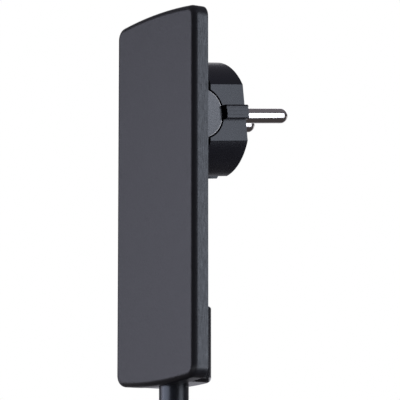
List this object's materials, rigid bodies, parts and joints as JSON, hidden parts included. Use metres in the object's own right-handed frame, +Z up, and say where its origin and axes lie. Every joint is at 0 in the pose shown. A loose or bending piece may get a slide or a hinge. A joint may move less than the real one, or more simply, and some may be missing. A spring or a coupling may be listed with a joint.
{
  "type": "flat schuko plug with hinged lever plate",
  "caption": "Flat two-pin earthed mains plug: a long thin lever plate hinged on a short round insert, with a rear hump for the cord, which is put away in a tied hank.",
  "frame": {"origin": "midway between the two contact pins, on the face of the insert that they stand out of", "axes": "+X along the pins, away from the plate; +Y across the pins; +Z up, towards the plate's upper end, as it sits in a socket with the cord hanging down"},
  "size_m": [0.0706, 0.0688, 0.3745],
  "materials": {
    "housing": "finely spark-eroded black moulded plastic",
    "contact_nickel": "polished nickel plating",
    "screw_steel": "zinc-plated steel",
    "cord_sheath": "smooth semi-gloss black sheath",
    "core_brown": "brown core insulation",
    "core_blue": "blue core insulation",
    "core_green_yellow": "green and yellow core insulation",
    "tie_strap": "black strap",
    "ferrule_tin": "tinned sleeve"
  },
  "bodies": {
    "insert": {"insert_body": "housing", "insert_rear_cap": "housing", "insert_screws": "screw_steel", "live_pin": "contact_nickel", "neutral_pin": "contact_nickel", "pin_clips": "screw_steel", "earth_bracket": "contact_nickel", "live_tail": "core_brown", "neutral_tail": "core_blue", "earth_tail": "core_green_yellow", "hinge_pin_near": "screw_steel", "hinge_pin_far": "screw_steel"},
    "lever": {"front_shell": "housing", "rear_cover": "housing", "cover_screws": "screw_steel", "cord_clamp": "housing", "clamp_screws": "screw_steel", "live_lead": "core_brown", "neutral_lead": "core_blue", "earth_lead": "core_green_yellow", "cord": "cord_sheath", "cord_hank": "cord_sheath", "hank_ties": "tie_strap", "live_core_end": "core_brown", "neutral_core_end": "core_blue", "earth_core_end": "core_green_yellow", "core_ferrules": "ferrule_tin"}
  },
  "joints": [
    {"name": "lever_hinge", "type": "hinge", "parent": "insert", "child": "lever", "pos_m": [-0.01825, 0, 0], "axis": [0, 1, 0], "range_deg": [-15, 15]}
  ]
}
